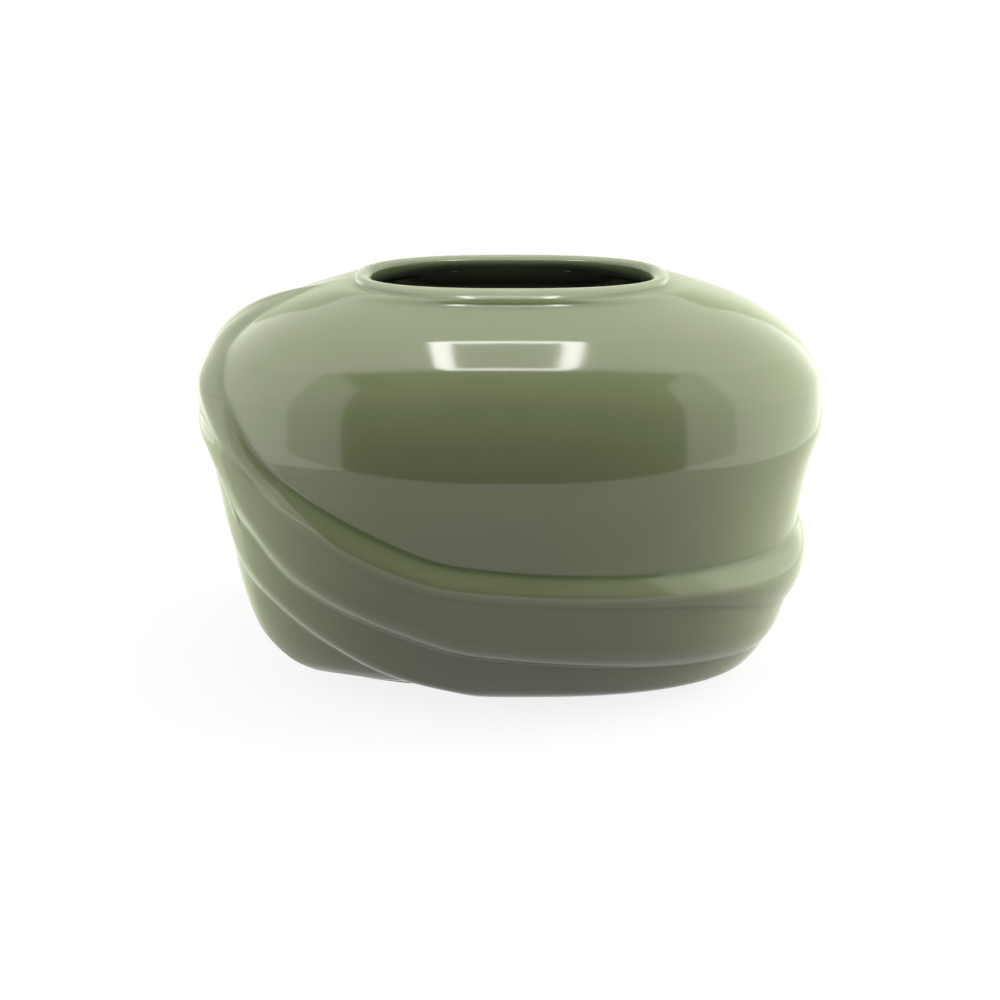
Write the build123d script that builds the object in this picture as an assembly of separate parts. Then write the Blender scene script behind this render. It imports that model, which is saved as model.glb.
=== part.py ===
from build123d import *
import os

import numpy as np

# Pillow vase: a slip-cast earthenware body with glaze coats outside, inside and underneath.
# Millimetres, +Z up, origin at the middle of the foot; the long axis is X and the front faces -Y.

# Overall form, measured on the finished glaze
height = 180.0
body_width = 272.0
body_depth = 154.0
widest_height = 120.0
deepest_height = 98.0

# Mouth and collar
mouth_width = 121.0
mouth_depth = 59.0
lip_round = 2.2
collar_height_at_ends = 4.0
collar_height_at_front = 10.0
collar_flare_at_ends = 7.5
collar_flare_at_front = 2.3

# Clay and glaze
wall_thickness = 6.5
floor_thickness = 6.5
floor_curve_height = 7.0
floor_flat_inset = 22.0
glaze_thickness = 0.4

# Foot: a dry ring round a shallow glazed recess
foot_width = 172.0
foot_depth = 88.0
foot_ring_width = 15.0
dry_foot_height = 2.0
recess_depth = 3.0
recess_draft = 1.0
wiped_margin = 1.5

# Drape: cloth-like folds that wrap the body from the left shoulder down to the right foot
layer_proud = 5.5
layer_edge_width = 11.0
roll_proud = 5.0
upper_fold_drop = 5.0
middle_fold_drop = 6.5
lower_fold_drop = 8.5
fold_tuck_width = 11.0
crease_softness = 0.8
foot_fade_height = 10.0

# Shares and counts that shape the curves
section_power = 2.5
inside_relief_share = 0.8
bead_softness_share = 0.25
probe_share = 0.0003
collar_curve_share = 0.25
points_round = 192
foot_levels = 6
body_levels = 96
inside_levels = 48
collar_levels = 12
lip_steps = 7
floor_steps = 7

# Each profile row: share of the rise, share of the way out to the widest (or in to the collar)
end_flare_shares = ((0, 0), (0.033, 0.33), (0.1, 0.52), (0.217, 0.655), (0.4, 0.755), (0.6, 0.815),
                    (0.817, 0.895))
end_shoulder_shares = ((0, 0), (0.286, 0.02), (0.536, 0.165), (0.714, 0.365), (0.857, 0.605),
                       (0.955, 0.85))
front_flare_shares = ((0, 0), (0.041, 0.32), (0.122, 0.51), (0.265, 0.67), (0.49, 0.848),
                      (0.735, 0.97))
front_shoulder_shares = ((0, 0), (0.306, 0.051), (0.528, 0.191), (0.722, 0.434), (0.861, 0.702),
                         (0.944, 0.906))

# Each fold row: share of the way round from the left end to the right end, share of the height
roll_top_shares = ((0, 0.965), (0.05, 0.935), (0.1, 0.865), (0.16, 0.8), (0.2, 0.74), (0.267, 0.595),
                   (0.356, 0.48), (0.44, 0.41), (0.55, 0.387), (0.67, 0.38), (0.82, 0.382), (0.9, 0.4),
                   (1, 0.42))
roll_bottom_shares = ((0, 0.8), (0.1, 0.74), (0.16, 0.69), (0.2, 0.635), (0.267, 0.545),
                      (0.356, 0.395), (0.44, 0.345), (0.55, 0.325), (0.67, 0.307), (0.82, 0.245),
                      (0.9, 0.215), (1, 0.2))
upper_fold_shares = ((0, 0.69), (0.1, 0.685), (0.15, 0.66), (0.18, 0.57), (0.22, 0.49), (0.28, 0.38),
                     (0.38, 0.28), (0.46, 0.222), (0.6, 0.195), (0.75, 0.178), (0.85, 0.17),
                     (0.92, 0.185), (1, 0.2))
middle_fold_shares = ((0, 0.56), (0.1, 0.46), (0.18, 0.345), (0.22, 0.295), (0.29, 0.195),
                      (0.355, 0.115), (0.47, 0.03), (0.53, -0.04), (1, -0.3))
lower_fold_shares = ((0, 0.38), (0.1, 0.24), (0.133, 0.145), (0.16, 0.1), (0.2, 0.02), (0.25, -0.05),
                     (1, -0.3))

# Each strength row: share of the way round, share of the full relief there
layer_shares = ((0, 0), (0.08, 0.15), (0.15, 0.6), (0.25, 0.85), (0.4, 1), (0.6, 1), (0.75, 0.85),
                (1, 0.45))
roll_shares = ((0, 0.9), (0.08, 0.55), (0.15, 0.25), (0.25, 0.1), (0.4, 0.08), (0.55, 0.12), (0.75, 0.4),
               (0.9, 0.75), (1, 0.85))
upper_drop_shares = ((0, 0), (0.08, 0.1), (0.15, 0.4), (0.3, 1), (0.5, 0.9), (0.7, 0.6), (0.85, 0.35),
                     (1, 0.1))
middle_drop_shares = ((0, 0), (0.12, 0.3), (0.25, 0.8), (0.4, 1.1), (0.48, 0.8), (0.6, 0.3), (1, 0))
lower_drop_shares = ((0, 0.5), (0.1, 0.9), (0.2, 1), (0.3, 0.8), (1, 0))

# Heights that follow from the sizes above
lip_level = height - lip_round
floor_level = recess_depth + floor_thickness
heel_level = floor_level + floor_curve_height - wall_thickness
probe_height = probe_share * height
# Every ring starts at the middle of the back
turns = np.arange(points_round) * 2 * np.pi / points_round - np.pi / 2


def curve_through(rows, flat_start=False, flat_end=False):
    """A smooth curve through rows of (place, value) that never swings past them."""
    places, values = np.array(rows, float).T
    steps = np.diff(places)
    rises = np.diff(values) / steps
    before, after = rises[:-1], rises[1:]
    one_way = before * after > 0
    weight_before = steps[:-1] + 2 * steps[1:]
    weight_after = 2 * steps[:-1] + steps[1:]
    blend = weight_before / np.where(one_way, before, 1) + weight_after / np.where(one_way, after, 1)
    middle = np.where(one_way, (weight_before + weight_after) / blend, 0)
    first = 0 if flat_start else rises[0]
    last = 0 if flat_end else rises[-1]
    slopes = np.concatenate(([first], middle, [last]))

    def value(place):
        i = np.clip(np.searchsorted(places, place, side="right") - 1, 0, len(steps) - 1)
        t = np.clip((place - places[i]) / steps[i], 0, 1)
        level = values[i] * (1 + 2 * t) * (1 - t) ** 2 + values[i + 1] * t**2 * (3 - 2 * t)
        return level + steps[i] * t * (1 - t) * (slopes[i] * (1 - t) - slopes[i + 1] * t)

    return value


def wall_profile(foot, widest, level, lip, collar_height, collar_flare, flare_shares, shoulder_shares):
    """Half the body's width or depth by height, from the foot up to the lip's upright outer face."""
    collar = height - collar_height
    collar_base = lip + collar_flare
    rows = [(level * up, foot + (widest - foot) * out) for up, out in flare_shares]
    rows += [
        (level + (collar - level) * up, widest + (collar_base - widest) * inward)
        for up, inward in shoulder_shares
    ]
    rows += [(collar, collar_base)]
    rows += [((collar + lip_level) / 2, lip + collar_flare * collar_curve_share)]
    rows += [(lip_level, lip)]
    return curve_through(rows, flat_end=True)


half_width = wall_profile(foot_width / 2, body_width / 2, widest_height, mouth_width / 2 + wall_thickness,
                          collar_height_at_ends, collar_flare_at_ends, end_flare_shares,
                          end_shoulder_shares)
half_depth = wall_profile(foot_depth / 2, body_depth / 2, deepest_height, mouth_depth / 2 + wall_thickness,
                          collar_height_at_front, collar_flare_at_front, front_flare_shares,
                          front_shoulder_shares)


def oval(turn, half_x, half_y, z):
    """Points of a squarish oval; a turn of 0 is the left end and a quarter turn the front."""
    c, s = np.cos(turn), np.sin(turn)
    reach = (np.abs(c) ** section_power + np.abs(s) ** section_power) ** (-1 / section_power)
    return np.stack(np.broadcast_arrays(-half_x * reach * c, -half_y * reach * s, z), -1)


def pillow(turn, z):
    """The plain pillow form without its drape."""
    return oval(turn, half_width(z), half_depth(z), z)


def outward(turn, z):
    """Unit direction square to the pillow form."""
    along = pillow(turn + probe_share, z) - pillow(turn - probe_share, z)
    up = pillow(turn, z + probe_height) - pillow(turn, z - probe_height)
    up[..., 2] = 2 * probe_height
    square = np.cross(along, up)
    return square / np.linalg.norm(square, axis=-1, keepdims=True)


def ease(t):
    """From 0 to 1 with level ends."""
    t = np.clip(t, 0, 1)
    return t**2 * (3 - 2 * t)


def round_the_body(shares, size):
    """A size that follows its shares from the left end to the right end, alike at front and back."""
    curve = curve_through(shares, flat_start=True, flat_end=True)
    return lambda turn: size * curve(np.abs(np.arctan2(np.sin(turn), np.cos(turn))) / np.pi)


roll_top = round_the_body(roll_top_shares, height)
roll_bottom = round_the_body(roll_bottom_shares, height)
layer_height = round_the_body(layer_shares, layer_proud)
roll_height = round_the_body(roll_shares, roll_proud)
folds = [
    (round_the_body(line_shares, height), round_the_body(drop_shares, drop))
    for line_shares, drop, drop_shares in (
        (upper_fold_shares, upper_fold_drop, upper_drop_shares),
        (middle_fold_shares, middle_fold_drop, middle_drop_shares),
        (lower_fold_shares, lower_fold_drop, lower_drop_shares),
    )
]


def below_line(line, turn, z):
    """Distance below a fold's line, measured square to the line."""
    level = line(turn)
    ahead = pillow(turn + probe_share, level) - pillow(turn - probe_share, level)
    lean = (line(turn + probe_share) - line(turn - probe_share)) / np.linalg.norm(ahead, axis=-1)
    return (level - z) / np.sqrt(1 + lean**2)


def softened(t, softness):
    """The share t, kept at 0 or more with a rounded start."""
    return (t + np.sqrt(t**2 + softness**2)) / 2


def drape(turn, z):
    """How far the drape stands out of the pillow form."""
    top, bottom = roll_top(turn), roll_bottom(turn)
    way_down = (top - z) / (top - bottom)
    bead = softened(4 * way_down * (1 - way_down), bead_softness_share)
    softness = crease_softness / layer_edge_width
    over_edge = np.clip(softened(below_line(roll_top, turn, z) / layer_edge_width, softness), 0, 1)
    relief = roll_height(turn) * bead + layer_height(turn) * np.sin(over_edge * np.pi / 2)
    for line, drop in folds:
        tuck = np.clip(below_line(line, turn, z) / fold_tuck_width, 0, None)
        tuck = 1 - softened(1 - tuck**2, crease_softness / fold_tuck_width)
        relief = relief - drop(turn) * tuck
    return np.where(relief > 0, relief * ease(z / foot_fade_height), relief)


def draped(turn, z, share):
    """The pillow form with a share of the drape, which is pushed out level at the foot."""
    push = outward(turn, z)
    push[..., 2] = push[..., 2] * ease(z / foot_fade_height)
    push = push / np.linalg.norm(push, axis=-1, keepdims=True)
    return pillow(turn, z) + share * drape(turn, z)[..., None] * push


def foot_oval(inset, z):
    """The plain oval of the foot, drawn in by an inset."""
    return oval(turns, foot_width / 2 - inset, foot_depth / 2 - inset, z)


def outside(z, under_glaze):
    """A ring on the outer face at one level, or that far under the glaze."""
    return draped(turns, z, 1) - under_glaze * outward(turns, z)


def inside(z, under_glaze):
    """A ring on the inner face, one wall thickness in, where the drape shows softer."""
    depth = wall_thickness - under_glaze
    return draped(turns, z, inside_relief_share) - depth * outward(turns, z)


def lip(angle, under_glaze):
    """A ring on the rounded lip, from its outer face at 0 over the crest to its inner face at pi."""
    square = outward(turns, lip_level)
    across = (wall_thickness / 2 - under_glaze) * np.cos(angle) - wall_thickness / 2
    ring = pillow(turns, lip_level) + across * square
    ring[:, 2] += (lip_round - under_glaze) * np.sin(angle)
    return ring


def closing_shares(steps):
    """Shares of a way from 0 to 1 in steps that shorten towards its end."""
    return 1 - (1 - np.linspace(0, 1, steps + 1)) ** 2


def outer_rings(under_glaze):
    """Rings from the edge of the dry foot up to the crest of the lip."""
    collar_level = height - collar_height_at_front
    levels = np.concatenate((
        np.linspace(dry_foot_height, foot_fade_height, foot_levels, endpoint=False),
        np.linspace(foot_fade_height, collar_level, body_levels, endpoint=False),
        np.linspace(collar_level, lip_level, collar_levels, endpoint=False),
    ))
    angles = closing_shares(lip_steps) * np.pi / 2
    return [outside(z, under_glaze) for z in levels] + [lip(angle, under_glaze) for angle in angles]


def inner_rings(under_glaze):
    """Rings from the crest of the lip down inside to the flat of the floor."""
    collar_level = height - collar_height_at_front
    angles = np.pi - closing_shares(lip_steps)[::-1] * np.pi / 2
    levels = np.concatenate((
        np.linspace(lip_level, collar_level, collar_levels, endpoint=False)[1:],
        np.linspace(collar_level, heel_level, inside_levels),
    ))
    rings = [lip(angle, under_glaze) for angle in angles]
    rings += [inside(z, under_glaze) for z in levels]
    return rings + floor_curve(rings[-1], under_glaze)


def floor_curve(heel, under_glaze):
    """Rings that carry the inner wall on from its heel, in a curve that ends flat on the floor."""
    floor = foot_oval(floor_flat_inset, floor_level + glaze_thickness - under_glaze)
    wall_way = pillow(turns, heel_level) - pillow(turns, heel_level + probe_height)
    corner = heel + wall_way * (heel[:, 2:] - floor[:, 2:]) / probe_height
    shares = closing_shares(floor_steps)[1:]
    return [(1 - t) ** 2 * heel + 2 * t * (1 - t) * corner + t**2 * floor for t in shares]


def wire_of(ring):
    """A closed smooth wire through a ring's points."""
    knots = [i / points_round for i in range(points_round + 1)]
    points = [tuple(map(float, point)) for point in ring]
    return Wire([Edge.make_spline(points, periodic=True, parameters=knots)])


def skin(rings, ruled=False):
    """The faces of a loft through rings, without its ends."""
    return Shell.make_loft([wire_of(ring) for ring in rings], ruled).faces()


def solid_of(faces):
    """One closed solid from the faces that bound it."""
    return Solid(Shell(faces)).fix()


def clay_body():
    """The fired clay: walls, lip, floor and foot ring."""
    walls_out = outer_rings(glaze_thickness)
    walls_in = inner_rings(glaze_thickness)
    foot_edge = draped(turns, 0, 1)
    ring_edge = foot_oval(foot_ring_width, 0)
    faces = skin(walls_out) + skin(walls_in) + skin([foot_edge, walls_out[0]], ruled=True)
    faces += [Face(wire_of(walls_in[-1]))]
    faces += [Face(wire_of(foot_edge), [wire_of(ring_edge)])]
    faces += skin([ring_edge, recess_outline(0)], ruled=True)
    faces += [Face(wire_of(recess_outline(0)))]
    return solid_of(faces)


def recess_outline(margin):
    """The outline of the recess roof, drawn in by a margin."""
    return foot_oval(foot_ring_width + recess_draft + margin, recess_depth)


def outside_glaze():
    """The coat from the wiped edge of the foot up to the crest of the lip."""
    on_clay = outer_rings(glaze_thickness)
    in_air = outer_rings(0)
    faces = skin(on_clay) + skin(in_air)
    faces += skin([on_clay[0], in_air[0]], ruled=True) + skin([on_clay[-1], in_air[-1]], ruled=True)
    return solid_of(faces)


def inside_glaze():
    """The lining from the crest of the lip down over the floor."""
    on_clay = inner_rings(glaze_thickness)
    in_air = inner_rings(0)
    faces = skin(on_clay) + skin(in_air) + skin([on_clay[0], in_air[0]], ruled=True)
    faces += [Face(wire_of(on_clay[-1])), Face(wire_of(in_air[-1]))]
    return solid_of(faces)


def underside_glaze():
    """The coat on the roof of the recess, wiped back from the foot ring."""
    return extrude(Face(wire_of(recess_outline(wiped_margin))), glaze_thickness, dir=(0, 0, -1))


os.makedirs("parts", exist_ok=True)
for make in (clay_body, outside_glaze, inside_glaze, underside_glaze):
    export_step(make(), os.path.join("parts", make.__name__ + ".step"))
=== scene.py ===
import math

import bpy
import numpy as np
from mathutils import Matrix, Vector


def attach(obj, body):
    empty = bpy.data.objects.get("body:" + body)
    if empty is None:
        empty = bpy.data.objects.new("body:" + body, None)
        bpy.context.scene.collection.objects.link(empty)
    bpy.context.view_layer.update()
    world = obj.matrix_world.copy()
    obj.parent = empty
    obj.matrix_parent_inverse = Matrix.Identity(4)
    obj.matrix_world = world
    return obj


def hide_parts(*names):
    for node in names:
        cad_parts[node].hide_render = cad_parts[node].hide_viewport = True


# Pillow vase: a slip-cast earthenware body under a glossy sage glaze.
# The glaze skin is drawn from the sizes of the solids, in millimetres, and placed in metres.
# At front and back its shoulder and collar stand fuller than the solids.
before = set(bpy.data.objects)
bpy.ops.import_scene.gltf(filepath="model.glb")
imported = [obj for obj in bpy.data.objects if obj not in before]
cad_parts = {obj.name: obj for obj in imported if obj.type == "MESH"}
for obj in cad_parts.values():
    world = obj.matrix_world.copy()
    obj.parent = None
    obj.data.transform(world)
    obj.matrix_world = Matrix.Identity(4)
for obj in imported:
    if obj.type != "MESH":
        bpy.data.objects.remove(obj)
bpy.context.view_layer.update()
METRES = 0.001

# Overall form, measured on the finished glaze
height = 180.0
body_width = 272.0
body_depth = 154.0
widest_height = 120.0
deepest_height = 98.0

# Mouth and collar
mouth_width = 121.0
mouth_depth = 59.0
lip_round = 2.2
collar_height_at_ends = 4.0
collar_height_at_front = 10.0
collar_flare_at_ends = 7.5
collar_flare_at_front = 2.3

# Clay and glaze
wall_thickness = 6.5
floor_thickness = 6.5
floor_curve_height = 7.0
floor_flat_inset = 22.0
glaze_thickness = 0.4

# Foot: a dry ring round a shallow glazed recess
foot_width = 172.0
foot_depth = 88.0
dry_foot_height = 2.0
recess_depth = 3.0

# Drape: cloth-like folds that wrap the body from the left shoulder down to the right foot
layer_proud = 5.5
layer_edge_width = 11.0
roll_proud = 5.0
upper_fold_drop = 5.0
middle_fold_drop = 6.5
lower_fold_drop = 8.5
fold_tuck_width = 11.0
crease_softness = 0.8
foot_fade_height = 10.0

# Shares and counts that shape the curves
section_power = 2.5
inside_relief_share = 0.8
bead_softness_share = 0.25
probe_share = 0.0003
collar_curve_share = 0.25
points_round = 480
foot_levels = 14
body_levels = 220
inside_levels = 70
collar_levels = 28
lip_steps = 12
floor_steps = 10

# Each profile row: share of the rise, share of the way out to the widest (or in to the collar)
end_flare_shares = ((0, 0), (0.033, 0.33), (0.1, 0.52), (0.217, 0.655), (0.4, 0.755), (0.6, 0.815),
                    (0.817, 0.895))
end_shoulder_shares = ((0, 0), (0.286, 0.02), (0.536, 0.165), (0.714, 0.365), (0.857, 0.605),
                       (0.955, 0.85))
front_flare_shares = ((0, 0), (0.041, 0.32), (0.122, 0.51), (0.265, 0.67), (0.49, 0.848),
                      (0.735, 0.97))
front_shoulder_shares = ((0, 0), (0.306, 0.051), (0.528, 0.191), (0.722, 0.434), (0.861, 0.702),
                         (0.944, 0.906))

# Each fold row: share of the way round from the left end to the right end, share of the height
roll_top_shares = ((0, 0.965), (0.05, 0.935), (0.1, 0.865), (0.16, 0.8), (0.2, 0.74), (0.267, 0.595),
                   (0.356, 0.48), (0.44, 0.41), (0.55, 0.387), (0.67, 0.38), (0.82, 0.382), (0.9, 0.4),
                   (1, 0.42))
roll_bottom_shares = ((0, 0.8), (0.1, 0.74), (0.16, 0.69), (0.2, 0.635), (0.267, 0.545),
                      (0.356, 0.395), (0.44, 0.345), (0.55, 0.325), (0.67, 0.307), (0.82, 0.245),
                      (0.9, 0.215), (1, 0.2))
upper_fold_shares = ((0, 0.69), (0.1, 0.685), (0.15, 0.66), (0.18, 0.57), (0.22, 0.49), (0.28, 0.38),
                     (0.38, 0.28), (0.46, 0.222), (0.6, 0.195), (0.75, 0.178), (0.85, 0.17),
                     (0.92, 0.185), (1, 0.2))
middle_fold_shares = ((0, 0.56), (0.1, 0.46), (0.18, 0.345), (0.22, 0.295), (0.29, 0.195),
                      (0.355, 0.115), (0.47, 0.03), (0.53, -0.04), (1, -0.3))
lower_fold_shares = ((0, 0.38), (0.1, 0.24), (0.133, 0.145), (0.16, 0.1), (0.2, 0.02), (0.25, -0.05),
                     (1, -0.3))

# Each strength row: share of the way round, share of the full relief there
layer_shares = ((0, 0), (0.08, 0.15), (0.15, 0.6), (0.25, 0.85), (0.4, 1), (0.6, 1), (0.75, 0.85),
                (1, 0.45))
roll_shares = ((0, 0.9), (0.08, 0.55), (0.15, 0.25), (0.25, 0.1), (0.4, 0.08), (0.55, 0.12), (0.75, 0.4),
               (0.9, 0.75), (1, 0.85))
upper_drop_shares = ((0, 0), (0.08, 0.1), (0.15, 0.4), (0.3, 1), (0.5, 0.9), (0.7, 0.6), (0.85, 0.35),
                     (1, 0.1))
middle_drop_shares = ((0, 0), (0.12, 0.3), (0.25, 0.8), (0.4, 1.1), (0.48, 0.8), (0.6, 0.3), (1, 0))
lower_drop_shares = ((0, 0.5), (0.1, 0.9), (0.2, 1), (0.3, 0.8), (1, 0))

# Fuller collar and shoulder of the skin at front and back
collar_roll_width = 6.2
collar_roll_height = 5.7
collar_crease_softness = 0.6
# Each shoulder row: share of the height, share of half the depth
full_shoulder_shares = ((0.544, 1), (0.611, 0.992), (0.694, 0.963), (0.778, 0.904), (0.833, 0.838),
                        (0.904, 0.701), (0.964, 0.526), (1, 0.409))

# How dark the glaze is painted by its bends: a crease is darker, as pooled glaze with painted shade, and a
# ridge is paler, as thinner glaze with painted highlight. A crease bent to the pool radius has a depth of 1,
# before the limits.
pool_and_shade_radius = 6.0
ridge_thin_and_highlight = -0.5
crease_pool_and_shade = 0.8
# Painted shade inside: the inner glaze darkens from the lip's crest to its deepest tone a few millimetres
# down
inside_shade = 3
# Keeps the inside skin clear of the clay solid, which otherwise shows through it below the lip
inside_lift = 0.6

# Sizes of the patterns in the glaze and the clay, in millimetres
cloud_size = 45
ripple_size = 14
ripple_height = 0.4
grit_size = 1.2
grain_height = 0.15

# Colours
GLAZE_SAGE = "#7E8762"
# Darker glaze for the creases, pooled glaze with painted shade, and for the way into the painted shade
# inside
GLAZE_POOLED_AND_SHADED = "#677150"
# Paler glaze for the ridges: thinner glaze with painted highlight
GLAZE_THIN_AND_HIGHLIT = "#8F9873"
# Painted shade inside the vase, darkest below the lip
GLAZE_SHADED_INSIDE = "#32382A"
CLAY_BUFF = "#C9B99A"
CLAY_SPECK = "#9A8466"
PAPER_GREY = "#5F5F5B"
CARD_GREY = "#3A3A36"
WHITE = (1, 1, 1, 1)

# Light box and stage, in metres
WALL_REACH = 0.4
WALL_BACK = 0.5
CEILING_HEIGHT = 0.7
CEILING_FRONT = -0.42
CEILING_PANEL_FRONT = -0.2
LAMP_HEIGHT = 0.695
CARD_FRONT = -0.66
CARD_REACH = 0.8
CARD_TOP = 1.2
FLOOR_REACH = 3
NEAR_PAPER_REACH = 0.08
FAR_PAPER_REACH = 0.4

# Brightness, where 1 shows as white
MIRRORED_LEVEL = 1.25
CEILING_LEVEL = 2.4
LAMP_LEVEL = 14
ROOM_LEVEL = 0.05
NEAR_PAPER_LEVEL = 0.86

# Side walls: the front edge of the wall that is mirrored, then the front, back and level of each panel
left_wall = (-0.64, ((-0.4, -0.1, 2.3), (-0.1, 0.12, 11), (0.12, WALL_BACK, 1.2)))
right_wall = (-0.6, ((-0.35, -0.1, 3), (-0.1, 0.12, 13), (0.12, WALL_BACK, 1.2)))

# Bars of the lamp frame: middle across, middle in depth, width, depth
lamp_bars = ((-0.006, -0.395, 0.19, 0.02), (-0.006, -0.185, 0.22, 0.02),
             (-0.096, -0.29, 0.036, 0.19), (0.086, -0.29, 0.036, 0.19))

# Camera: place in metres, tilt below level in degrees, lens and sensor in millimetres
CAMERA_PLACE = (-0.005, -0.7025, 0.3377)
CAMERA_TILT = 20.5
CAMERA_LENS = 59.8
CAMERA_SENSOR = 36

# Heights that follow from the sizes above
lip_level = height - lip_round
floor_level = recess_depth + floor_thickness
heel_level = floor_level + floor_curve_height - wall_thickness
probe_height = probe_share * height
crest_half_depth = (mouth_depth + wall_thickness) / 2
# Every ring starts at the middle of the back
turns = np.arange(points_round) * 2 * np.pi / points_round - np.pi / 2


def curve_through(rows, flat_start=False, flat_end=False):
    """A smooth curve through rows of (place, value) that never swings past them."""
    places, values = np.array(rows, float).T
    steps = np.diff(places)
    rises = np.diff(values) / steps
    before, after = rises[:-1], rises[1:]
    one_way = before * after > 0
    weight_before = steps[:-1] + 2 * steps[1:]
    weight_after = 2 * steps[:-1] + steps[1:]
    blend = weight_before / np.where(one_way, before, 1) + weight_after / np.where(one_way, after, 1)
    middle = np.where(one_way, (weight_before + weight_after) / blend, 0)
    first = 0 if flat_start else rises[0]
    last = 0 if flat_end else rises[-1]
    slopes = np.concatenate(([first], middle, [last]))

    def value(place):
        i = np.clip(np.searchsorted(places, place, side="right") - 1, 0, len(steps) - 1)
        t = np.clip((place - places[i]) / steps[i], 0, 1)
        level = values[i] * (1 + 2 * t) * (1 - t) ** 2 + values[i + 1] * t**2 * (3 - 2 * t)
        return level + steps[i] * t * (1 - t) * (slopes[i] * (1 - t) - slopes[i + 1] * t)

    return value


def wall_profile(foot, widest, level, lip, collar_height, collar_flare, flare_shares, shoulder_shares):
    """Half the body's width or depth by height, from the foot up to the lip's upright outer face."""
    collar = height - collar_height
    collar_base = lip + collar_flare
    rows = [(level * up, foot + (widest - foot) * out) for up, out in flare_shares]
    rows += [
        (level + (collar - level) * up, widest + (collar_base - widest) * inward)
        for up, inward in shoulder_shares
    ]
    rows += [(collar, collar_base)]
    rows += [((collar + lip_level) / 2, lip + collar_flare * collar_curve_share)]
    rows += [(lip_level, lip)]
    return curve_through(rows, flat_end=True)


half_width = wall_profile(foot_width / 2, body_width / 2, widest_height, mouth_width / 2 + wall_thickness,
                          collar_height_at_ends, collar_flare_at_ends, end_flare_shares,
                          end_shoulder_shares)
half_depth = wall_profile(foot_depth / 2, body_depth / 2, deepest_height, mouth_depth / 2 + wall_thickness,
                          collar_height_at_front, collar_flare_at_front, front_flare_shares,
                          front_shoulder_shares)


def oval(turn, half_x, half_y, z):
    """Points of a squarish oval; a turn of 0 is the left end and a quarter turn the front."""
    c, s = np.cos(turn), np.sin(turn)
    reach = (np.abs(c) ** section_power + np.abs(s) ** section_power) ** (-1 / section_power)
    return np.stack(np.broadcast_arrays(-half_x * reach * c, -half_y * reach * s, z), -1)


def pillow(turn, z):
    """The plain pillow form without its drape."""
    return oval(turn, half_width(z), half_depth(z), z)


def outward(turn, z):
    """Unit direction square to the pillow form."""
    along = pillow(turn + probe_share, z) - pillow(turn - probe_share, z)
    up = pillow(turn, z + probe_height) - pillow(turn, z - probe_height)
    up[..., 2] = 2 * probe_height
    square = np.cross(along, up)
    return square / np.linalg.norm(square, axis=-1, keepdims=True)


def ease(t):
    """From 0 to 1 with level ends."""
    t = np.clip(t, 0, 1)
    return t**2 * (3 - 2 * t)


def round_the_body(shares, size):
    """A size that follows its shares from the left end to the right end, alike at front and back."""
    curve = curve_through(shares, flat_start=True, flat_end=True)
    return lambda turn: size * curve(np.abs(np.arctan2(np.sin(turn), np.cos(turn))) / np.pi)


roll_top = round_the_body(roll_top_shares, height)
roll_bottom = round_the_body(roll_bottom_shares, height)
layer_height = round_the_body(layer_shares, layer_proud)
roll_height = round_the_body(roll_shares, roll_proud)
folds = [
    (round_the_body(line_shares, height), round_the_body(drop_shares, drop))
    for line_shares, drop, drop_shares in (
        (upper_fold_shares, upper_fold_drop, upper_drop_shares),
        (middle_fold_shares, middle_fold_drop, middle_drop_shares),
        (lower_fold_shares, lower_fold_drop, lower_drop_shares),
    )
]


def below_line(line, turn, z):
    """Distance below a fold's line, measured square to the line."""
    level = line(turn)
    ahead = pillow(turn + probe_share, level) - pillow(turn - probe_share, level)
    lean = (line(turn + probe_share) - line(turn - probe_share)) / np.linalg.norm(ahead, axis=-1)
    return (level - z) / np.sqrt(1 + lean**2)


def softened(t, softness):
    """The share t, kept at 0 or more with a rounded start."""
    return (t + np.sqrt(t**2 + softness**2)) / 2


def drape(turn, z):
    """How far the drape stands out of the pillow form."""
    top, bottom = roll_top(turn), roll_bottom(turn)
    way_down = (top - z) / (top - bottom)
    bead = softened(4 * way_down * (1 - way_down), bead_softness_share)
    softness = crease_softness / layer_edge_width
    over_edge = np.clip(softened(below_line(roll_top, turn, z) / layer_edge_width, softness), 0, 1)
    relief = roll_height(turn) * bead + layer_height(turn) * np.sin(over_edge * np.pi / 2)
    for line, drop in folds:
        tuck = np.clip(below_line(line, turn, z) / fold_tuck_width, 0, None)
        tuck = 1 - softened(1 - tuck**2, crease_softness / fold_tuck_width)
        relief = relief - drop(turn) * tuck
    return np.where(relief > 0, relief * ease(z / foot_fade_height), relief)


def draped(turn, z, share):
    """The pillow form with a share of the drape, which is pushed out level at the foot."""
    push = outward(turn, z)
    push[..., 2] = push[..., 2] * ease(z / foot_fade_height)
    push = push / np.linalg.norm(push, axis=-1, keepdims=True)
    return pillow(turn, z) + share * drape(turn, z)[..., None] * push


def foot_oval(inset, z):
    """The plain oval of the foot, drawn in by an inset."""
    return oval(turns, foot_width / 2 - inset, foot_depth / 2 - inset, z)


def outside(z, under_glaze):
    """A ring on the outer face at one level, or that far under the glaze."""
    return draped(turns, z, 1) - under_glaze * outward(turns, z)


def inside(z, under_glaze):
    """A ring on the inner face, one wall thickness in, where the drape shows softer."""
    depth = wall_thickness - under_glaze
    return draped(turns, z, inside_relief_share) - depth * outward(turns, z)


def lip(angle, under_glaze):
    """A ring on the rounded lip, from its outer face at 0 over the crest to its inner face at pi."""
    square = outward(turns, lip_level)
    across = (wall_thickness / 2 - under_glaze) * np.cos(angle) - wall_thickness / 2
    ring = pillow(turns, lip_level) + across * square
    ring[:, 2] += (lip_round - under_glaze) * np.sin(angle)
    return ring


def closing_shares(steps):
    """Shares of a way from 0 to 1 in steps that shorten towards its end."""
    return 1 - (1 - np.linspace(0, 1, steps + 1)) ** 2


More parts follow.
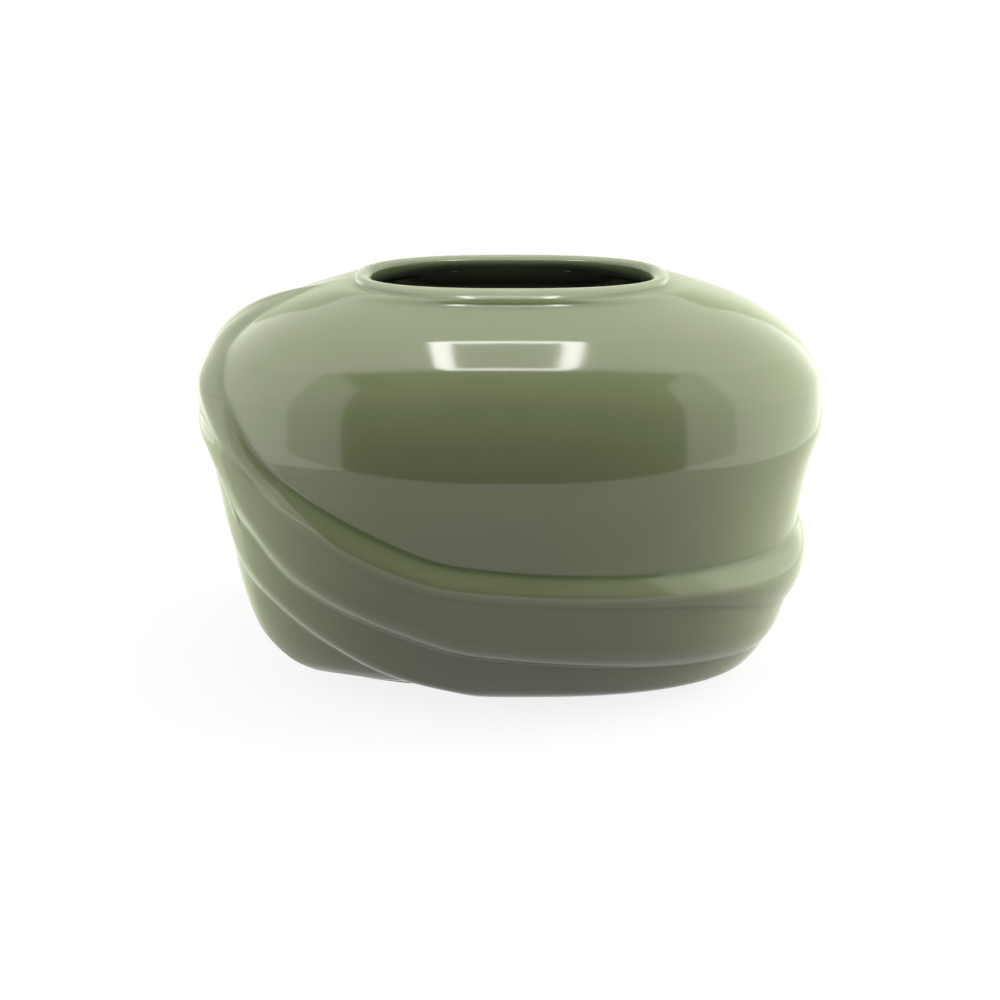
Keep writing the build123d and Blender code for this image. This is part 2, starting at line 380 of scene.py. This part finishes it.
def outer_rings(under_glaze):
    """Rings from the edge of the dry foot up to the crest of the lip."""
    collar_level = height - collar_height_at_front
    levels = np.concatenate((
        np.linspace(dry_foot_height, foot_fade_height, foot_levels, endpoint=False),
        np.linspace(foot_fade_height, collar_level, body_levels, endpoint=False),
        np.linspace(collar_level, lip_level, collar_levels, endpoint=False),
    ))
    angles = closing_shares(lip_steps) * np.pi / 2
    return [outside(z, under_glaze) for z in levels] + [lip(angle, under_glaze) for angle in angles]


def inner_rings(under_glaze):
    """Rings from the crest of the lip down inside to the flat of the floor."""
    collar_level = height - collar_height_at_front
    angles = np.pi - closing_shares(lip_steps)[::-1] * np.pi / 2
    levels = np.concatenate((
        np.linspace(lip_level, collar_level, collar_levels, endpoint=False)[1:],
        np.linspace(collar_level, heel_level, inside_levels),
    ))
    rings = [lip(angle, under_glaze) for angle in angles]
    rings += [inside(z, under_glaze) for z in levels]
    return rings + floor_curve(rings[-1], under_glaze)


def floor_curve(heel, under_glaze):
    """Rings that carry the inner wall on from its heel, in a curve that ends flat on the floor."""
    floor = foot_oval(floor_flat_inset, floor_level + glaze_thickness - under_glaze)
    wall_way = pillow(turns, heel_level) - pillow(turns, heel_level + probe_height)
    corner = heel + wall_way * (heel[:, 2:] - floor[:, 2:]) / probe_height
    shares = closing_shares(floor_steps)[1:]
    return [(1 - t) ** 2 * heel + 2 * t * (1 - t) * corner + t**2 * floor for t in shares]


full_shoulder = curve_through(full_shoulder_shares, flat_start=True)


def quarter_round(z, base):
    """The level reach, from 1 to 0, of a quarter round that rises from a base level to the crest."""
    return np.sqrt(1 - np.clip((z - base) / (height - base), 0, 1) ** 2)


def fuller(points):
    """Skin points drawn out in depth to the full shoulder and the rolled collar."""
    z = points[..., 2]
    upright = np.where(z < lip_level, half_depth(np.minimum(z, lip_level)),
                       crest_half_depth + wall_thickness / 2 * quarter_round(z, lip_level))
    shoulder = full_shoulder(z / height) * body_depth / 2
    roll = crest_half_depth + collar_roll_width * quarter_round(z, height - collar_roll_height)
    skin = (shoulder + roll) / 2 + np.sqrt(((shoulder - roll) / 2) ** 2 + collar_crease_softness**2)
    stretch = np.where(z > deepest_height, np.maximum(skin / upright, 1), 1)
    return points * np.stack((np.ones_like(z), stretch, np.ones_like(z)), -1)


def glaze_pool_and_light_depths(rings):
    """How dark the glaze is painted on a skin: over 0 in creases, as pooled glaze with painted shade, under
    0 on ridges, as thinner glaze with painted highlight.
    """
    up = np.diff(rings, axis=0)
    lengths = np.linalg.norm(up, axis=-1, keepdims=True)
    bends = np.diff(up / lengths, axis=0)
    along = np.roll(rings, -1, axis=1) - np.roll(rings, 1, axis=1)
    square = np.cross(along[1:-1], up[1:] + up[:-1])
    square = square / np.linalg.norm(square, axis=-1, keepdims=True)
    hollow = 2 * (bends * square).sum(-1) / (lengths[1:] + lengths[:-1])[..., 0]
    depth = np.zeros(rings.shape[:2])
    depth[1:-1] = np.clip(hollow * pool_and_shade_radius, ridge_thin_and_highlight, crease_pool_and_shade)
    return depth


def skin_mesh(name, rings):
    """A smooth quad mesh through rings of points, closed on its last ring."""
    count = len(rings[0])
    points = np.concatenate(rings) * METRES
    column = np.arange(count)
    ahead = np.roll(column, -1)
    quads = [
        np.stack((row * count + column, row * count + ahead, (row + 1) * count + ahead,
                  (row + 1) * count + column), axis=1)
        for row in range(len(rings) - 1)
    ]
    last = (len(rings) - 1) * count
    faces = np.concatenate(quads).tolist() + [list(range(last, last + count))]
    mesh = bpy.data.meshes.new(name)
    mesh.from_pydata(points.tolist(), [], faces)
    mesh.shade_smooth()
    piece = bpy.data.objects.new(name, mesh)
    bpy.context.scene.collection.objects.link(piece)
    return piece


def add_node(tree, kind, values=None, links=None, **settings):
    """Adds a shader node with its settings, its socket values and the outputs that feed it."""
    node = tree.nodes.new(kind)
    for name, value in settings.items():
        setattr(node, name, value)
    for socket, value in (values or {}).items():
        node.inputs[socket].default_value = value
    for socket, (source, output) in (links or {}).items():
        tree.links.new(source.outputs[output], node.inputs[socket])
    return node


def linear(hex_colour):
    """An sRGB hex colour as the linear values that shaders take."""
    shares = [int(hex_colour[i:i + 2], 16) / 255 for i in (1, 3, 5)]
    return tuple(c / 12.92 if c <= 0.04045 else ((c + 0.055) / 1.055) ** 2.4 for c in shares) + (1,)


def per_metre(millimetres):
    """A texture scale whose features repeat about every so many millimetres."""
    return 1 / (millimetres * METRES)


def new_material(name):
    """An empty node material with its output node."""
    material = bpy.data.materials.new(name)
    material.use_nodes = True
    material.node_tree.nodes.clear()
    return material, material.node_tree, material.node_tree.nodes.new("ShaderNodeOutputMaterial")


def sage_glaze():
    """Sage earthenware glaze, dipped and fired: a thin coat of coloured glass over the clay.
    It mirrors softly, and its colour is painted darker in the creases, as pooled glaze with painted shade,
    paler on the ridges, as thinner glaze with painted highlight, and darkest inside, as painted shade."""
    material, tree, output = new_material("sage_gloss_glaze")
    place = add_node(tree, "ShaderNodeTexCoord")
    # How dark the glaze is painted at each point: pooled glaze and painted shade in the creases, thinner
    # glaze and painted highlight on the ridges, painted shade inside
    pool_and_painted_light = add_node(tree, "ShaderNodeAttribute", attribute_name="glaze_pool_and_painted_light")
    clouds = add_node(tree, "ShaderNodeTexNoise",
                      {"Scale": per_metre(cloud_size), "Detail": 3, "Roughness": 0.5},
                      {"Vector": (place, "Object")})
    drift = add_node(tree, "ShaderNodeMapRange",
                     {"From Min": 0.3, "From Max": 0.7, "To Min": -0.12, "To Max": 0.12},
                     {"Value": (clouds, 0)})
    depth = add_node(tree, "ShaderNodeMath", None, {0: (pool_and_painted_light, "Fac"), 1: (drift, 0)}, operation="ADD")
    tone = add_node(tree, "ShaderNodeMapRange", {"From Min": -1, "From Max": inside_shade},
                    {"Value": (depth, 0)})
    colour = add_node(tree, "ShaderNodeValToRGB", None, {"Fac": (tone, 0)})
    # From paler glaze with painted highlight, through sage and pooled glaze with painted shade, to the
    # painted shade inside
    ramp = colour.color_ramp.elements
    ramp[0].color = linear(GLAZE_THIN_AND_HIGHLIT)
    ramp[1].color = linear(GLAZE_SHADED_INSIDE)
    ramp.new(0.25).color = linear(GLAZE_SAGE)
    ramp.new(0.5).color = linear(GLAZE_POOLED_AND_SHADED)
    ripple = add_node(tree, "ShaderNodeTexNoise", {"Scale": per_metre(ripple_size), "Detail": 1},
                      {"Vector": (place, "Object")})
    waves = add_node(tree, "ShaderNodeBump", {"Strength": 0.05, "Distance": ripple_height * METRES},
                     {"Height": (ripple, 0)})
    gloss = add_node(tree, "ShaderNodeMapRange",
                     {"From Min": 0.3, "From Max": 0.7, "To Min": 0.07, "To Max": 0.1},
                     {"Value": (clouds, 0)})
    glaze = add_node(tree, "ShaderNodeBsdfPrincipled", {"IOR": 1.55},
                     {"Base Color": (colour, 0), "Roughness": (gloss, 0), "Normal": (waves, 0)})
    tree.links.new(glaze.outputs[0], output.inputs["Surface"])
    return material


def fired_clay():
    """Bare buff earthenware, wiped and fired: dry, matt and faintly gritty, with small iron specks."""
    material, tree, output = new_material("fired_buff_clay")
    place = add_node(tree, "ShaderNodeTexCoord")
    grit = add_node(tree, "ShaderNodeTexNoise", {"Scale": per_metre(grit_size), "Detail": 4},
                    {"Vector": (place, "Object")})
    colour = add_node(tree, "ShaderNodeValToRGB", None, {"Fac": (grit, 0)})
    ramp = colour.color_ramp.elements
    ramp[0].position, ramp[0].color = 0.28, linear(CLAY_SPECK)
    ramp[1].position, ramp[1].color = 0.42, linear(CLAY_BUFF)
    grain = add_node(tree, "ShaderNodeBump", {"Strength": 0.3, "Distance": grain_height * METRES},
                     {"Height": (grit, 0)})
    clay = add_node(tree, "ShaderNodeBsdfPrincipled", {"Roughness": 0.85, "IOR": 1.45},
                    {"Base Color": (colour, 0), "Normal": (grain, 0)})
    tree.links.new(clay.outputs[0], output.inputs["Surface"])
    return material


def seen_or_mirrored(tree):
    """1 for rays that show a surface to the camera, straight, in a mirror image or through glass."""
    ray = add_node(tree, "ShaderNodeLightPath")
    seen = add_node(tree, "ShaderNodeMath", None, {0: (ray, "Is Camera Ray"), 1: (ray, "Is Glossy Ray")},
                    operation="MAXIMUM")
    return add_node(tree, "ShaderNodeMath", None, {0: (seen, 0), 1: (ray, "Is Transmission Ray")},
                    operation="MAXIMUM")


def ground_paper():
    """Seamless paper, matt and even: it shows as a plain white ground that keeps a soft shadow,
    and as a grey one it throws little light back at the vase."""
    material, tree, output = new_material("seamless_paper")
    seen = seen_or_mirrored(tree)
    place = add_node(tree, "ShaderNodeTexCoord")
    away = add_node(tree, "ShaderNodeVectorMath", None, {0: (place, "Object")}, operation="LENGTH")
    level = add_node(tree, "ShaderNodeMapRange",
                     {"From Min": NEAR_PAPER_REACH, "From Max": FAR_PAPER_REACH, "To Min": NEAR_PAPER_LEVEL},
                     {"Value": (away, "Value")}, interpolation_type="SMOOTHSTEP")
    strength = add_node(tree, "ShaderNodeMath", None, {0: (seen, 0), 1: (level, 0)}, operation="MULTIPLY")
    paper = add_node(tree, "ShaderNodeBsdfDiffuse", {"Color": linear(PAPER_GREY)})
    white = add_node(tree, "ShaderNodeEmission", {"Color": WHITE}, {"Strength": (strength, 0)})
    both = add_node(tree, "ShaderNodeAddShader", None, {0: (paper, 0), 1: (white, 0)})
    tree.links.new(both.outputs[0], output.inputs["Surface"])
    return material


def dark_card():
    """Dark grey card, matt: the front of the glaze mirrors it as the open, unlit front of the box."""
    material, tree, output = new_material("dark_card")
    card = add_node(tree, "ShaderNodeBsdfDiffuse", {"Color": linear(CARD_GREY)})
    tree.links.new(card.outputs[0], output.inputs["Surface"])
    return material


def studio_room():
    """A dim room for the light, and a white ground where it is seen or mirrored."""
    world = bpy.data.worlds.new("studio_room")
    world.use_nodes = True
    tree = world.node_tree
    tree.nodes.clear()
    seen = seen_or_mirrored(tree)
    dim = add_node(tree, "ShaderNodeBackground", {"Color": WHITE, "Strength": ROOM_LEVEL})
    white = add_node(tree, "ShaderNodeBackground", {"Color": WHITE, "Strength": 1})
    both = add_node(tree, "ShaderNodeMixShader", None, {0: (seen, 0), 1: (dim, 0), 2: (white, 0)})
    add_node(tree, "ShaderNodeOutputWorld", None, {"Surface": (both, 0)})
    bpy.context.scene.world = world


def soft_box(name, centre, aim, width, depth, level, mirrored=True, lighting=True):
    """A rectangular lamp that shows as an even panel of the given brightness.
    It can be left out of the mirror images in the glaze, or out of the matt light."""
    lamp = bpy.data.lights.new(name, "AREA")
    lamp.shape = "RECTANGLE"
    lamp.size, lamp.size_y = width, depth
    lamp.energy = level * math.pi * width * depth
    holder = bpy.data.objects.new(name, lamp)
    holder.location = centre
    holder.rotation_euler = (Vector(aim) - Vector(centre)).to_track_quat("-Z", "Y").to_euler()
    holder.visible_camera = False
    holder.visible_glossy = mirrored
    holder.visible_diffuse = lighting
    bpy.context.scene.collection.objects.link(holder)


def side_panel(name, x, front, back, level, **rays):
    """A panel in a side wall, from the floor to the ceiling."""
    middle, z = (front + back) / 2, CEILING_HEIGHT / 2
    soft_box(name, (x, middle, z), (0, middle, z), back - front, CEILING_HEIGHT, level, **rays)


def ceiling_panel(name, front, level, **rays):
    """A panel in the ceiling, from wall to wall and back to the rear."""
    middle = (front + WALL_BACK) / 2
    soft_box(name, (0, middle, CEILING_HEIGHT), (0, middle, 0), 2 * WALL_REACH, WALL_BACK - front, level,
             **rays)


def stage_sheet(name, corners, material):
    """A flat sheet of the stage through four corners."""
    mesh = bpy.data.meshes.new(name)
    mesh.from_pydata(corners, [], [(0, 1, 2, 3)])
    mesh.materials.append(material)
    piece = bpy.data.objects.new(name, mesh)
    bpy.context.scene.collection.objects.link(piece)
    return piece


# Glaze coat, from the wiped edge of the foot over the lip to the floor inside
outer = fuller(np.array(outer_rings(0)))
inner = np.array(inner_rings(0))
down_inside = ease((height - inner[..., 2:]) / (2 * lip_round))
inner += down_inside * (np.array(inner_rings(-inside_lift)) - inner)
coat = np.concatenate((outer_rings(glaze_thickness)[:1], outer, inner[1:]))
# Depths for the glaze colour: pooling with painted shade and thinning with painted highlight outside, and
# painted shade inside, down from the lip
pool_shade_and_highlight = np.zeros(coat.shape[:2])
pool_shade_and_highlight[1:len(outer) + 1] = glaze_pool_and_light_depths(outer)
pool_shade_and_highlight[len(outer) + 1:] = inside_shade * down_inside[1:, :, 0]
glaze_coat = skin_mesh("glaze_coat", coat)
pool_and_painted_light = glaze_coat.data.attributes.new("glaze_pool_and_painted_light", "FLOAT", "POINT")
pool_and_painted_light.data.foreach_set("value", pool_shade_and_highlight.ravel().astype(np.float32))
glaze_material = sage_glaze()
glaze_coat.data.materials.append(glaze_material)
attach(glaze_coat, "root")
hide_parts("outside_glaze", "inside_glaze")

# Solids that stay
for node, material in (("clay_body", fired_clay()), ("underside_glaze", glaze_material)):
    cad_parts[node].data.materials.clear()
    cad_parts[node].data.materials.append(material)

# Walls and ceiling that the glaze mirrors, panels that light the vase, and a lamp frame that does both
for name, x, (wall_front, panels) in (("left", -WALL_REACH, left_wall), ("right", WALL_REACH, right_wall)):
    side_panel(f"{name}_wall", x, wall_front, WALL_BACK, MIRRORED_LEVEL, lighting=False)
    for front, back, level in panels:
        side_panel(f"{name}_panel", x, front, back, level, mirrored=False)
ceiling_panel("ceiling", CEILING_FRONT, MIRRORED_LEVEL, lighting=False)
ceiling_panel("ceiling_panel", CEILING_PANEL_FRONT, CEILING_LEVEL, mirrored=False)
for x, y, width, depth in lamp_bars:
    soft_box("lamp_bar", (x, y, LAMP_HEIGHT), (x, y, 0), width, depth, LAMP_LEVEL)

# Stage
studio_room()
stage_sheet("floor", [(-FLOOR_REACH, -FLOOR_REACH, 0), (FLOOR_REACH, -FLOOR_REACH, 0),
                      (FLOOR_REACH, FLOOR_REACH, 0), (-FLOOR_REACH, FLOOR_REACH, 0)], ground_paper())
front_card = stage_sheet("front_card", [(-CARD_REACH, CARD_FRONT, 0), (CARD_REACH, CARD_FRONT, 0),
                                        (CARD_REACH, CARD_FRONT, CARD_TOP),
                                        (-CARD_REACH, CARD_FRONT, CARD_TOP)], dark_card())
front_card.visible_camera = False

# Camera at the photograph's angle
eye = bpy.data.cameras.new("photo_camera")
eye.lens = CAMERA_LENS
eye.sensor_width = CAMERA_SENSOR
camera = bpy.data.objects.new("photo_camera", eye)
camera.location = CAMERA_PLACE
camera.rotation_euler = (math.radians(90 - CAMERA_TILT), 0, 0)
bpy.context.scene.collection.objects.link(camera)
bpy.context.scene.camera = camera
bpy.context.scene.view_settings.view_transform = "Standard"
